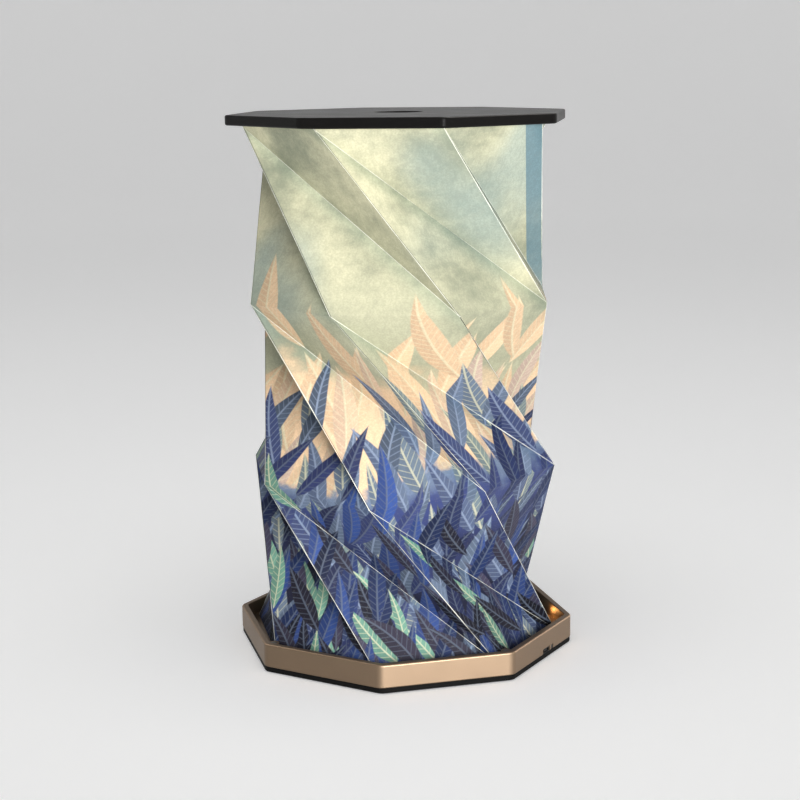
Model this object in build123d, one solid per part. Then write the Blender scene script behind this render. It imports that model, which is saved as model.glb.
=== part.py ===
from build123d import *
import os
from math import cos, radians, sin, sqrt

# Folding bedside lamp: an octagonal aluminium tray, a paper shade that twists shut in three storeys,
# and a black lid that closes the tray. Millimetres, +Z up, origin on the table under the middle.
# The tray's flats face the X and Y axes, and the charging port is in the +X flat.

# Octagon shared by tray, shade and lid
SIDES = 8
BASE_RADIUS = 90.0
CORNER_ROUND = 6.0
STEP_ANGLE = 360 / SIDES
FLAT_SHARE = cos(radians(STEP_ANGLE / 2))
BASE_FLAT = BASE_RADIUS * FLAT_SHARE

# Bottom plate and feet
PLATE_THICK = 2.7
PLATE_INSET = 0.3
PLATE_ROUND = 0.4
FOOT_COUNT = 4
FOOT_RADIUS = 7.0
FOOT_THICK = 1.2
FOOT_SEAT = 0.9
FOOT_ROUND = 0.3
FOOT_IN = 14.3
PLATE_BOTTOM = FOOT_THICK - FOOT_SEAT
PLATE_TOP = PLATE_BOTTOM + PLATE_THICK
PLATE_FLAT = BASE_FLAT - PLATE_INSET

# Tray
TRAY_HEIGHT = 12.1
TRAY_WALL = 3.4
RECESS_DEPTH = 7.3
FLOOR_THICK = 1.4
RIM_ROUND = 1.0
RIM_INNER_ROUND = 0.5
LOWER_ROUND = 0.6
TRAY_TOP = PLATE_TOP + TRAY_HEIGHT
FLOOR_TOP = TRAY_TOP - RECESS_DEPTH
FLOOR_UNDER = FLOOR_TOP - FLOOR_THICK
INNER_FLAT = BASE_FLAT - TRAY_WALL
INNER_CORNER = INNER_FLAT / FLAT_SHARE
INNER_ROUND = max(CORNER_ROUND - TRAY_WALL, RIM_INNER_ROUND)

# Closing magnets in corner posts
MAGNET_COUNT = 4
MAGNET_RADIUS = 1.5
MAGNET_THICK = 2.0
MAGNET_CLEAR = 0.1
POST_RADIUS = 2.6
POST_IN = 2.1
POST_BELOW_RIM = 0.5
POST_TOP = TRAY_TOP - POST_BELOW_RIM
POST_CIRCLE = INNER_CORNER - POST_IN

# Countersunk screws
SCREW_COUNT = 4
SCREW_HEAD_RADIUS = 2.3
SCREW_HEAD_HEIGHT = 1.1
SCREW_SHANK_RADIUS = 1.2
SCREW_CLEAR = 0.1
SCREW_BITE = 0.5
DRIVE_LENGTH = 2.6
DRIVE_WIDTH = 0.5
DRIVE_DEPTH = 0.5
BOSS_RADIUS = 3.5
BASE_SCREW_IN = 13.75
BASE_SCREW_CIRCLE = INNER_FLAT - BASE_SCREW_IN
BASE_SCREW_LENGTH = FLOOR_UNDER + SCREW_BITE - PLATE_BOTTOM

# Light source
LED_BOARD_RADIUS = 46.0
LED_BOARD_THICK = 1.0
LED_COUNT = 24
LED_INSET = 10.0
LED_CIRCLE = LED_BOARD_RADIUS - LED_INSET
LED_LENGTH = 3.5
LED_WIDTH = 2.8
LED_HEIGHT = 0.7
DIFFUSER_RADIUS = 52.0
DIFFUSER_LIP = 3.0
DIFFUSER_LIP_THICK = 0.7
DIFFUSER_CLEAR = 0.2
LED_BOARD_TOP = PLATE_TOP + LED_BOARD_THICK

# Control board, charging port and button
BOARD_LENGTH = 40.0
BOARD_WIDTH = 24.0
BOARD_THICK = 0.8
BOARD_GAP = 0.4
BOARD_Y = 2.0
BOARD_UNDER = FLOOR_UNDER - BOARD_THICK
BOARD_FRONT = INNER_FLAT - BOARD_GAP
BOARD_X = BOARD_FRONT - BOARD_WIDTH / 2
PORT_Y = 3.7
PORT_WIDTH = 7.5
PORT_HEIGHT = 2.45
PORT_DEPTH = 5.6
PORT_SHELL = 0.3
PORT_ROUND = 0.6
PORT_SET_BACK = 0.35
PORT_TONGUE = 0.6
PORT_CLEAR = 0.3
BUTTON_Y = 10.6
BUTTON_WIDTH = 2.4
BUTTON_HEIGHT = 2.2
BUTTON_SET_BACK = 0.2
BUTTON_CLEAR = 0.15
FLANGE_WIDTH = 4.4
FLANGE_THICK = 0.85
FLANGE_GAP = 0.3
BUTTON_DROP = 0.05
SWITCH_SIZE = 3.4
SWITCH_HEIGHT = 1.7
PLUNGER_RADIUS = 0.6
PLUNGER_LENGTH = 0.5
PLUNGER_GAP = 0.45
FLANGE_BACK = INNER_FLAT - FLANGE_GAP - FLANGE_THICK
# Chips under the board: place along X and Y from the board's middle, then length, width and height
CHIPS = [(-5.0, -9.0, 5.0, 4.0, 1.0), (-6.0, 3.0, 4.0, 4.0, 1.6), (3.0, -12.0, 3.0, 3.0, 0.9)]

# Battery and leads
BATTERY_WIDTH = 23.0
BATTERY_LENGTH = 60.0
BATTERY_THICK = 3.6
BATTERY_ROUND = 1.2
BATTERY_GAP = 1.8
BATTERY_POCKET = 1.0
BATTERY_CLEAR = 0.5
BATTERY_X = -(INNER_FLAT - BATTERY_GAP - BATTERY_WIDTH / 2)
BATTERY_BOTTOM = PLATE_TOP - BATTERY_POCKET
LEAD_RADIUS = 0.45
LEAD_BEND = 8.0
LEAD_RISE = 1.2
LEAD_LOW = 0.3
LEAD_PITCH = 2.4
LEAD_OVERLAP = 6.0
LEAD_CLEAR = 0.05
BATTERY_LEAD_ROOM = 5.75

# Shade: eight-sided storeys that each turn by the open twist, and by the folded twist when flat
STOREYS = 3
OPEN_TWIST = 52.9
FOLDED_TWIST = 90.0
SHADE_GAP = 5.3
PAPER = 0.3
CREASE_GAP = 0.48
HEM_GAP = 0.4
FRAME_THICK = 0.8
FRAME_WIDTH = 8.0
FRAME_GAP = 2.2
SHADE_RADIUS = INNER_CORNER - SHADE_GAP
CREASE_LENGTH = 2 * SHADE_RADIUS * sin(radians(FOLDED_TWIST / 2))
STOREY_HEIGHT = sqrt(CREASE_LENGTH**2 - (2 * SHADE_RADIUS * sin(radians(OPEN_TWIST / 2))) ** 2)
SHADE_BOTTOM = FLOOR_TOP + HEM_GAP
SHADE_TOP = SHADE_BOTTOM + STOREYS * STOREY_HEIGHT
FRAME_FLAT = SHADE_RADIUS * FLAT_SHARE - FRAME_GAP

# Lid, which lies square on the tray when the shade is folded
LID_THICK = 5.2
LID_TOP_WALL = 1.8
LID_WALL = 3.0
LID_ROUND = 1.0
THUMB_RADIUS = 12.5
THUMB_DEPTH = 0.8
THUMB_ROUND = 0.3
REFLECTOR_THICK = 1.2
REFLECTOR_CLEAR = 0.25
LID_BOSS_RADIUS = 3.2
LID_SCREW_IN = 22.0
LID_TURN = STOREYS * (FOLDED_TWIST - OPEN_TWIST)
LID_UNDER = SHADE_TOP + HEM_GAP
LID_TOP = LID_UNDER + LID_THICK
LID_CEILING = LID_TOP - LID_TOP_WALL
LID_POCKET_FLAT = BASE_FLAT - LID_WALL
LID_SCREW_CIRCLE = LID_POCKET_FLAT - LID_SCREW_IN
LID_SCREW_LENGTH = LID_CEILING + SCREW_BITE - LID_UNDER

# Room added past a face that a cut goes through
CUT_PAST = 1.0


def octagon(flat, corner_round=0.0):
    shape = RegularPolygon(flat, SIDES, major_radius=False, rotation=STEP_ANGLE / 2)
    if corner_round > 0:
        shape = fillet(shape.vertices(), corner_round)
    return shape


def prism(flat, low, high, corner_round=0.0):
    return extrude(Pos(0, 0, low) * octagon(flat, corner_round), amount=high - low)


def rod(radius, low, high):
    return Pos(0, 0, (low + high) / 2) * Cylinder(radius, high - low)


def block(x_low, x_high, y_middle, y_size, z_low, z_high):
    middle = ((x_low + x_high) / 2, y_middle, (z_low + z_high) / 2)
    return Pos(*middle) * Box(x_high - x_low, y_size, z_high - z_low)


def around(shape, count, circle, start=0.0):
    return [Rot(0, 0, start + k * 360 / count) * (Pos(circle, 0, 0) * shape) for k in range(count)]


def around_screws(shape, circle):
    return around(shape, SCREW_COUNT, circle, STEP_ANGLE)


def around_magnets(shape):
    return around(shape, MAGNET_COUNT, POST_CIRCLE, -STEP_ANGLE / 2)


def group(solids):
    return Compound([piece.solid() for piece in solids])


def turned_with_lid(shape):
    return Rot(0, 0, LID_TURN) * shape


def screw_body(length, clear=0.0):
    head = Cone(SCREW_HEAD_RADIUS + clear, SCREW_SHANK_RADIUS + clear, SCREW_HEAD_HEIGHT)
    shank = rod(SCREW_SHANK_RADIUS + clear, SCREW_HEAD_HEIGHT / 2, length + clear)
    return Pos(0, 0, SCREW_HEAD_HEIGHT / 2) * head + shank


def screw(length):
    slot = Pos(0, 0, DRIVE_DEPTH / 2) * Box(DRIVE_LENGTH, DRIVE_WIDTH, DRIVE_DEPTH)
    return screw_body(length) - slot - Rot(0, 0, 90) * slot


def base_tray():
    tray = prism(BASE_FLAT, PLATE_TOP, TRAY_TOP, CORNER_ROUND)
    tray = fillet(tray.faces().sort_by(Axis.Z)[-1].edges(), RIM_ROUND)
    tray = fillet(tray.faces().sort_by(Axis.Z)[0].edges(), LOWER_ROUND)
    tray -= prism(INNER_FLAT, FLOOR_TOP, TRAY_TOP + CUT_PAST, INNER_ROUND)
    rim = tray.faces().sort_by(Axis.Z)[-1]
    tray = fillet(rim.inner_wires()[0].edges(), RIM_INNER_ROUND)
    tray -= prism(INNER_FLAT, PLATE_TOP - CUT_PAST, FLOOR_UNDER, INNER_ROUND)
    tray += around_screws(rod(BOSS_RADIUS, PLATE_TOP, FLOOR_TOP), BASE_SCREW_CIRCLE)
    tray += around_magnets(rod(POST_RADIUS, FLOOR_UNDER, POST_TOP))
    tray -= around_magnets(rod(MAGNET_RADIUS + MAGNET_CLEAR, POST_TOP - MAGNET_THICK, TRAY_TOP))
    hole = Pos(0, 0, PLATE_BOTTOM) * screw_body(BASE_SCREW_LENGTH, SCREW_CLEAR)
    tray -= around_screws(hole, BASE_SCREW_CIRCLE)
    tray -= rod(DIFFUSER_RADIUS + DIFFUSER_CLEAR, FLOOR_UNDER - CUT_PAST, TRAY_TOP)
    lip = DIFFUSER_RADIUS + DIFFUSER_LIP + DIFFUSER_CLEAR
    tray -= rod(lip, FLOOR_TOP - DIFFUSER_LIP_THICK, TRAY_TOP)
    tray -= wall_notch(PORT_Y, PORT_WIDTH + 2 * PORT_CLEAR, BOARD_UNDER + PORT_CLEAR)
    tray -= wall_notch(BUTTON_Y, BUTTON_WIDTH + 2 * BUTTON_CLEAR, BOARD_UNDER + BUTTON_CLEAR)
    return tray


def wall_notch(y_middle, width, high):
    return block(BOARD_FRONT, BASE_FLAT + CUT_PAST, y_middle, width, PLATE_TOP - CUT_PAST, high)


def base_plate():
    plate = prism(PLATE_FLAT, PLATE_BOTTOM, PLATE_TOP, max(CORNER_ROUND - PLATE_INSET, PLATE_ROUND))
    plate = fillet(plate.faces().sort_by(Axis.Z)[0].edges(), PLATE_ROUND)
    half = BATTERY_WIDTH / 2 + BATTERY_CLEAR
    length = BATTERY_LENGTH + 2 * BATTERY_CLEAR
    plate -= block(BATTERY_X - half, BATTERY_X + half, 0, length, BATTERY_BOTTOM, PLATE_TOP + CUT_PAST)
    plate -= around(rod(FOOT_RADIUS, 0, FOOT_THICK), FOOT_COUNT, PLATE_FLAT - FOOT_IN)
    hole = Pos(0, 0, PLATE_BOTTOM) * screw_body(BASE_SCREW_LENGTH, SCREW_CLEAR)
    return plate - around_screws(hole, BASE_SCREW_CIRCLE)


def rubber_feet():
    foot = rod(FOOT_RADIUS, 0, FOOT_THICK)
    foot = fillet(foot.faces().sort_by(Axis.Z)[0].edges(), FOOT_ROUND)
    return group(around(foot, FOOT_COUNT, PLATE_FLAT - FOOT_IN))


def base_screws():
    return group(around_screws(Pos(0, 0, PLATE_BOTTOM) * screw(BASE_SCREW_LENGTH), BASE_SCREW_CIRCLE))


def base_magnets():
    return group(around_magnets(rod(MAGNET_RADIUS, POST_TOP - MAGNET_THICK, POST_TOP)))


def led_board():
    return rod(LED_BOARD_RADIUS, PLATE_TOP, LED_BOARD_TOP)


def leds():
    chip = Pos(0, 0, LED_BOARD_TOP + LED_HEIGHT / 2) * Box(LED_WIDTH, LED_LENGTH, LED_HEIGHT)
    return group(around(chip, LED_COUNT, LED_CIRCLE))


def light_diffuser():
    lip = rod(DIFFUSER_RADIUS + DIFFUSER_LIP, FLOOR_TOP - DIFFUSER_LIP_THICK, FLOOR_TOP)
    return lip + rod(DIFFUSER_RADIUS, FLOOR_UNDER, FLOOR_TOP)


def control_board():
    return block(BOARD_FRONT - BOARD_WIDTH, BOARD_FRONT, BOARD_Y, BOARD_LENGTH, BOARD_UNDER, FLOOR_UNDER)


def board_chips():
    chips = []
    for x, y, length, width, height in CHIPS:
        place = Pos(BOARD_X + x, BOARD_Y + y, BOARD_UNDER - height / 2)
        chips.append(place * Box(length, width, height))
    return group(chips)


def charging_port():
    front = BASE_FLAT - PORT_SET_BACK
    low = BOARD_UNDER - PORT_HEIGHT
    shell = block(front - PORT_DEPTH, front, PORT_Y, PORT_WIDTH, low, BOARD_UNDER)
    shell = fillet(shell.edges().filter_by(Axis.X), PORT_ROUND)
    mouth = block(front - PORT_DEPTH + PORT_SHELL, front + CUT_PAST, PORT_Y,
                  PORT_WIDTH - 2 * PORT_SHELL, low + PORT_SHELL, BOARD_UNDER - PORT_SHELL)
    mouth = fillet(mouth.edges().filter_by(Axis.X), PORT_ROUND - PORT_SHELL)
    middle = low + PORT_HEIGHT / 2
    tongue = block(front - PORT_DEPTH, front - PORT_SHELL, PORT_Y, PORT_WIDTH / 2,
                   middle - PORT_TONGUE / 2, middle + PORT_TONGUE / 2)
    return shell - mouth + tongue


def power_button():
    high = BOARD_UNDER - BUTTON_DROP
    low = high - BUTTON_HEIGHT
    key = block(FLANGE_BACK, BASE_FLAT - BUTTON_SET_BACK, BUTTON_Y, BUTTON_WIDTH, low, high)
    key = fillet(key.faces().sort_by(Axis.X)[-1].edges(), BUTTON_CLEAR)
    return key + block(FLANGE_BACK, FLANGE_BACK + FLANGE_THICK, BUTTON_Y, FLANGE_WIDTH, low, high)


def tact_switch():
    tip = FLANGE_BACK - PLUNGER_GAP
    front = tip - PLUNGER_LENGTH
    body = block(front - SWITCH_SIZE, front, BUTTON_Y, SWITCH_SIZE, BOARD_UNDER - SWITCH_HEIGHT, BOARD_UNDER)
    place = Pos((front + tip) / 2, BUTTON_Y, BOARD_UNDER - SWITCH_HEIGHT / 2)
    return body + place * Rot(0, 90, 0) * Cylinder(PLUNGER_RADIUS, PLUNGER_LENGTH)


def battery_cell():
    half = BATTERY_WIDTH / 2
    cell = block(BATTERY_X - half, BATTERY_X + half, 0, BATTERY_LENGTH,
                 BATTERY_BOTTOM, BATTERY_BOTTOM + BATTERY_THICK)
    return fillet(cell.edges().filter_by(Axis.Y), BATTERY_ROUND)


def battery_leads():
    # The leads leave the cell's end, pass outside the screw bosses and end under the control board
    run = INNER_FLAT - BATTERY_LEAD_ROOM
    cell_end = BATTERY_LENGTH / 2
    board_end = BOARD_Y + BOARD_LENGTH / 2 - LEAD_OVERLAP
    corner = run * (sqrt(2) - 1)
    plan = [(BATTERY_X, cell_end), (BATTERY_X, run * sqrt(2) + BATTERY_X), (-corner, run),
            (corner, run), (BOARD_X, run * sqrt(2) - BOARD_X), (BOARD_X, board_end)]
    leads = []
    for k in range(2):
        z = PLATE_TOP + LEAD_LOW + LEAD_RADIUS + k * LEAD_RISE
        path = FilletPolyline(*[(x, y, z) for x, y in plan], radius=LEAD_BEND)
        start = Plane(origin=path @ 0, z_dir=path % 0)
        leads.append(sweep(start * Circle(LEAD_RADIUS), path=path))
    return group(leads)


def led_leads():
    start_x = LED_BOARD_RADIUS - LEAD_OVERLAP
    end_x = BOARD_FRONT - BOARD_WIDTH + LEAD_OVERLAP / 2
    start_z = LED_BOARD_TOP + LEAD_RADIUS + 2 * LEAD_CLEAR
    end_z = BOARD_UNDER - LEAD_RADIUS - 2 * LEAD_CLEAR
    leads = []
    for y in (-LEAD_PITCH / 2, LEAD_PITCH / 2):
        path = Line((start_x, y, start_z), (end_x, y, end_z))
        start = Plane(origin=path @ 0, z_dir=path % 0)
        leads.append(sweep(start * Circle(LEAD_RADIUS), path=path))
    return group(leads)


def clamp_frame(low):
    ring = prism(FRAME_FLAT, low, low + FRAME_THICK)
    return ring - prism(FRAME_FLAT - FRAME_WIDTH, low - CUT_PAST, low + FRAME_THICK + CUT_PAST)


def shade_base_frame():
    return clamp_frame(FLOOR_TOP)


def shade_top_frame():
    return turned_with_lid(clamp_frame(LID_UNDER - FRAME_THICK))


def fold_ring(level):
    turn = STEP_ANGLE / 2 - level * OPEN_TWIST
    z = SHADE_BOTTOM + level * STOREY_HEIGHT
    angles = [radians(turn + k * STEP_ANGLE) for k in range(SIDES + 1)]
    return [Vector(SHADE_RADIUS * cos(a), SHADE_RADIUS * sin(a), z) for a in angles]


def panel(a, b, c):
    # A flat triangle drawn in by the crease gap towards its incentre, thickened to the inside
    sides = ((c - b).length, (a - c).length, (b - a).length)
    incentre = (a * sides[0] + b * sides[1] + c * sides[2]) / sum(sides)
    normal = (b - a).cross(c - a)
    inradius = normal.length / sum(sides)
    shrink = 1 - CREASE_GAP / inradius
    corners = [incentre + (corner - incentre) * shrink for corner in (a, b, c)]
    outward = normal.X * incentre.X + normal.Y * incentre.Y
    inward = normal.normalized() * (-PAPER if outward > 0 else PAPER)
    return Solid.extrude(Face(Wire.make_polygon(corners)), inward)


def rising_panels(storey):
    low = fold_ring(storey)
    high = fold_ring(storey + 1)
    return group([panel(low[k], low[k + 1], high[k]) for k in range(SIDES)])


def hanging_panels(storey):
    low = fold_ring(storey)
    high = fold_ring(storey + 1)
    return group([panel(high[k], high[k + 1], low[k + 1]) for k in range(SIDES)])


def lid_cover():
    lid = prism(BASE_FLAT, LID_UNDER, LID_TOP, CORNER_ROUND)
    lid = fillet(lid.faces().sort_by(Axis.Z)[-1].edges(), LID_ROUND)
    lid = fillet(lid.faces().sort_by(Axis.Z)[0].edges(), LID_ROUND)
    lid -= rod(THUMB_RADIUS, LID_TOP - THUMB_DEPTH, LID_TOP + CUT_PAST)
    top = lid.faces().sort_by(Axis.Z)[-1]
    lid = fillet(top.inner_wires()[0].edges(), THUMB_ROUND)
    lid -= prism(LID_POCKET_FLAT, LID_UNDER - CUT_PAST, LID_CEILING)
    lid += around_screws(rod(BOSS_RADIUS, LID_UNDER + REFLECTOR_THICK, LID_CEILING), LID_SCREW_CIRCLE)
    lid += around_magnets(rod(LID_BOSS_RADIUS, LID_UNDER, LID_CEILING))
    lid -= around_magnets(rod(MAGNET_RADIUS + MAGNET_CLEAR, LID_UNDER - CUT_PAST, LID_UNDER + MAGNET_THICK))
    hole = Pos(0, 0, LID_UNDER) * screw_body(LID_SCREW_LENGTH, SCREW_CLEAR)
    return turned_with_lid(lid - around_screws(hole, LID_SCREW_CIRCLE))


def lid_reflector():
    high = LID_UNDER + REFLECTOR_THICK
    plate = prism(LID_POCKET_FLAT - REFLECTOR_CLEAR, LID_UNDER, high)
    room = rod(LID_BOSS_RADIUS + REFLECTOR_CLEAR, LID_UNDER - CUT_PAST, high + CUT_PAST)
    plate -= around_magnets(room)
    hole = Pos(0, 0, LID_UNDER) * screw_body(LID_SCREW_LENGTH, SCREW_CLEAR)
    plate -= around_screws(hole, LID_SCREW_CIRCLE)
    # The corner tips outside the magnet bosses fall away
    return turned_with_lid(plate.solids().sort_by(SortBy.VOLUME)[-1])


def lid_screws():
    one = Pos(0, 0, LID_UNDER) * screw(LID_SCREW_LENGTH)
    return turned_with_lid(group(around_screws(one, LID_SCREW_CIRCLE)))


def lid_magnets():
    return turned_with_lid(group(around_magnets(rod(MAGNET_RADIUS, LID_UNDER, LID_UNDER + MAGNET_THICK))))


PIECES = [base_plate, rubber_feet, base_screws, base_tray, base_magnets, led_board, leds, light_diffuser,
          control_board, board_chips, charging_port, power_button, tact_switch, battery_cell,
          battery_leads, led_leads, shade_base_frame, shade_top_frame, lid_cover, lid_reflector,
          lid_screws, lid_magnets]
STOREY_NAMES = ["lower", "middle", "upper"]

os.makedirs("parts", exist_ok=True)
for piece in PIECES:
    export_step(piece(), f"parts/{piece.__name__}.step")
for storey, name in enumerate(STOREY_NAMES[:STOREYS]):
    export_step(rising_panels(storey), f"parts/{name}_rising_panels.step")
    export_step(hanging_panels(storey), f"parts/{name}_hanging_panels.step")
print("storey height", STOREY_HEIGHT, "lid underside", LID_UNDER, "top", LID_TOP, "rim", TRAY_TOP)
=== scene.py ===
from math import atan2, cos, radians, sin, sqrt

import bpy
from bpy.props import FloatProperty, FloatVectorProperty, PointerProperty
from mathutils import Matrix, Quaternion, Vector


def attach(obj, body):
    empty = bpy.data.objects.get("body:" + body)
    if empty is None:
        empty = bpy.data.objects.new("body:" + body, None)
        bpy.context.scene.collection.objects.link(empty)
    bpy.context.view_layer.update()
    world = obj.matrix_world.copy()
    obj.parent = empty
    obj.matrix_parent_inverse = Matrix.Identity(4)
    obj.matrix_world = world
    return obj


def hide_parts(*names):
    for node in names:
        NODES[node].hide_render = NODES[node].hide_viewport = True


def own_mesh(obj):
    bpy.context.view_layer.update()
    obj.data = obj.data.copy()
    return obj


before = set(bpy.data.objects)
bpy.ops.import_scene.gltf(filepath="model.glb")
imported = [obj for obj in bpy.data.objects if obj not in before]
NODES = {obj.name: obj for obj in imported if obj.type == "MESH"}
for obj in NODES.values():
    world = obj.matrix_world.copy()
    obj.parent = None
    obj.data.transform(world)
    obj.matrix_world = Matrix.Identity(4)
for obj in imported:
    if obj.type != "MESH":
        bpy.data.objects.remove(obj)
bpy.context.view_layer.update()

bl_info = {
    "name": "Folding bedside lamp",
    "version": (1, 0, 0),
    "blender": (4, 5, 0),
    "location": "3D View > Sidebar > Lamp",
    "description": "Dresses the bedside lamp: printed shade, anodised tray, satin lid and a studio stage",
    "category": "Object",
}

# The shade's storeys from the table up: name, body that carries the lower ring, joint that folds it
STOREYS = (("lower", "base", "lower_fold"), ("middle", "lower_ring", "middle_fold"),
           ("upper", "middle_ring", "upper_fold"))
SIDES = 8
STEP = radians(360 / SIDES)
# The first free ring hangs on the side that faces this way, and more sharply with a higher power
FREE_RING = 1
FREE_RING_FRONT = radians(-86)
DROOP_POWER = 6

# Mesh of a storey: least area of a flat panel, largest face of a rounded crease, cuts across a panel, strips
# of a rounded crease, height beside a ring that doesn't bow, size of the bow's lumps, sharpest smooth edge
PANEL_AREA = 0.0004
CREASE_AREA = 0.00001
PANEL_CUTS = 5
CREASE_STRIPS = 2
RING_REACH = 0.007
BOW_LUMP = 0.045
SMOOTH_ANGLE = radians(18)
# Share of a panel's angle by which a turned corner may be off
TURN_SLIP = 0.001

# The glued seam along one mountain crease: its corner, width and tone, the share of its width where the edge
# fades, the heights between which it comes in, and how much it shows at either
SEAM_CORNER = 3
SEAM_WIDTH = 0.011
SEAM_TONE = (0.085, 0.165, 0.21)
SEAM_EDGE = 0.97
SEAM_RISE = (0.5, 0.72)
SEAM_SHARE = (0.1, 0.8)
# Half width of the worn lines on the creases, their soft parts, tones and shares
MOUNTAIN_LINE = 0.00032
VALLEY_LINE = 0.0003
RIDGE_SOFT = 0.6
RIDGE_TONE = (0.78, 0.79, 0.71)
FOLD_SOFT = 0.7
FOLD_TONE = (0.72, 0.73, 0.65)
FOLD_SHARE = 0.75
# Painted shadow beside each mountain crease: its soft part, tone, share and offset from the ridge
RIDGE_SHADOW_SOFT = 0.8
RIDGE_SHADOW_TONE = (0.05, 0.055, 0.055)
RIDGE_SHADOW_SHARE = 0.65
RIDGE_SHADOW_OFF = 1.6
# Painted shade beside each valley crease: its width, tone and share
VALLEY_SHADE_WIDTH = 0.014
VALLEY_SHADE_TONE = (0.58, 0.72, 0.76)
VALLEY_SHADE_SHARE = 0.5
# Scuffs along the creases: their size, the noise between which they come in, and the wear at either end
SCUFF = 0.016
SCUFF_RANGE = (0.34, 0.6)
SCUFF_WEAR = (0.2, 0.85)
# The paper's own grain: sizes of its grit and fibres, share of the grit, where pits and pale fibres show, how
# much and in which tone, gloss and relief
GRIT = 0.0009
FIBRE = 0.0022
FIBRE_STRETCH = (1.0, 1.0, 0.25)
GRIT_SHARE = 0.6
PIT_RANGE = (0.38, 0.62)
PIT_SHARE = 0.22
PIT_TONE = (0.02, 0.02, 0.025)
FIBRE_RANGE = (0.56, 0.72)
FIBRE_SHARE = 0.08
FIBRE_TONE = (0.62, 0.63, 0.58)
TOOTH_RANGE = (0.35, 0.65)
PAPER_ROUGH = (0.5, 0.68)
PAPER_SPECULAR = 0.15
TOOTH_RELIEF = 0.00005
# Tint and strength of the light that comes through the paper
GLOW_TONE = (1.0, 0.93, 0.80)
GLOW = 0.07

# The wash at the top: sizes of its large and small mottles, share of the large ones, where it turns from
# sage to cream; size of its cool patches, where they show and how much
LARGE_MOTTLE = 0.055
SMALL_MOTTLE = 0.009
SMALL_STRETCH = (1.0, 1.0, 1.6)
MOTTLE_SHARE = 0.8
MOTTLE_RANGE = (0.34, 0.64)
COOL_PATCH = 0.070
COOL_STRETCH = (1.0, 1.0, 0.7)
COOL_RANGE = (0.5, 0.66)
COOL_SHARE = 0.65
# Washes, in shares of the sheet's height: where the top one turns to sage and how far, where peach starts and
# how softly, how uneven their edges are
SAGE_FADE = (0.80, 0.60)
SAGE_SHARE = 0.55
PEACH_LEVEL = 0.53
PEACH_SOFT = 0.04
WASH_UNEVEN = 0.34
# Leaf print: tone of the browned leaves, pitch of the veins, shift of each row of leaves against the last,
# number of the first near layer
BROWNED = (0.44, 0.34, 0.29)
VEIN_PITCH = 0.0034
ROW_SHIFT = 0.37
NEAR_SEED = 50.0
# Shape of a leaf in its cell: bend and the place where it crosses the middle, girth and how much that varies,
# taper towards the tip, soft edge, half width of the rib and of a vein, backward slant of the veins
BEND = 0.8
BEND_CROSS = 0.4
GIRTH = 0.42
GIRTH_VARIES = 0.22
TAPER = 0.35
LEAF_EDGE = 0.06
RIB = (0.03, 0.07)
VEIN = (0.05, 0.14)
VEIN_SLANT = 0.8
# Tone and share of a leaf's dark half, strength of a vein beside the rib, share of all lines
HALF_TONE = 0.6
HALF_SHARE = 0.35
VEIN_STRENGTH = 0.55
LINE_SHARE = 0.6

# Grained finishes: size of the clouds in grains, share of the grain in the gloss, where specks show and how
# dark they are, where the gloss changes
CLOUD_SIZE = 45
FINE_SHARE = 0.6
SPECK_RANGE = (0.35, 0.65)
SPECK_TONE = 0.7
GLOSS_RANGE = (0.3, 0.7)
# Brushed finishes: width of the streaks, their tones and relief
STREAK = 0.0006
STREAK_TONES = (0.82, 1.12)
STREAK_RELIEF = 0.000008
# Share of the steel's tone in the charging socket: the darkening is painted shade for the socket's dark
# inside
PORT_SHADE_SHARE = 0.14
# Tint and strength of the light source and of its diffuser
LED_TINT = (1.0, 0.70, 0.35)
LED_GLOW = 6.0
DIFFUSER_TINT = (1.0, 0.72, 0.42)
DIFFUSER_GLOW = 1.5

WHITE = (1.0, 1.0, 1.0)
# Lights aim at a point on the axis at this height; the second strip has this share of the first one's power
AIM_HEIGHT = 0.12
SIDE_SHARE = 0.3
# Place, size and tint of the light that leaks out under the shade
LEAK_TURN = radians(127)
LEAK_REACH = 0.0775
LEAK_HEIGHT = 0.0105
LEAK_RADIUS = 0.0015
LEAK_TINT = (1.0, 0.50, 0.16)
# Floor: points round it, height under which an edge lies in it, share of the wall's height that its sweep
# takes, strips in the sweep, size and tones of its clouds, gloss
FLOOR_POINTS = 96
FLOOR_EDGE = 0.01
SWEEP_SHARE = 0.6
SWEEP_STRIPS = 16
FLOOR_CLOUD = 0.4
FLOOR_TONES = (0.985, 1.015)
FLOOR_ROUGH = 0.75
FLOOR_SPECULAR = 0.1
# Camera: width of the sensor in millimetres, nearest and farthest distance seen
SENSOR = 36.0
CLIP = (0.05, 20.0)


def length(name, description, default):
    return FloatProperty(name=name, description=description, default=default, unit="LENGTH")


def angle(name, description, default):
    return FloatProperty(name=name, description=description, default=radians(default), unit="ROTATION")


def watts(name, description, default):
    return FloatProperty(name=name, description=description, default=default, unit="POWER")


def kept_share(name, description, default):
    return FloatProperty(name=name, description=description, default=default, min=0.01, max=1.0)


def colour(name, description, default):
    return FloatVectorProperty(name=name, description=description, default=default, subtype="COLOR",
                               min=0.0, max=1.0, size=3)


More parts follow.
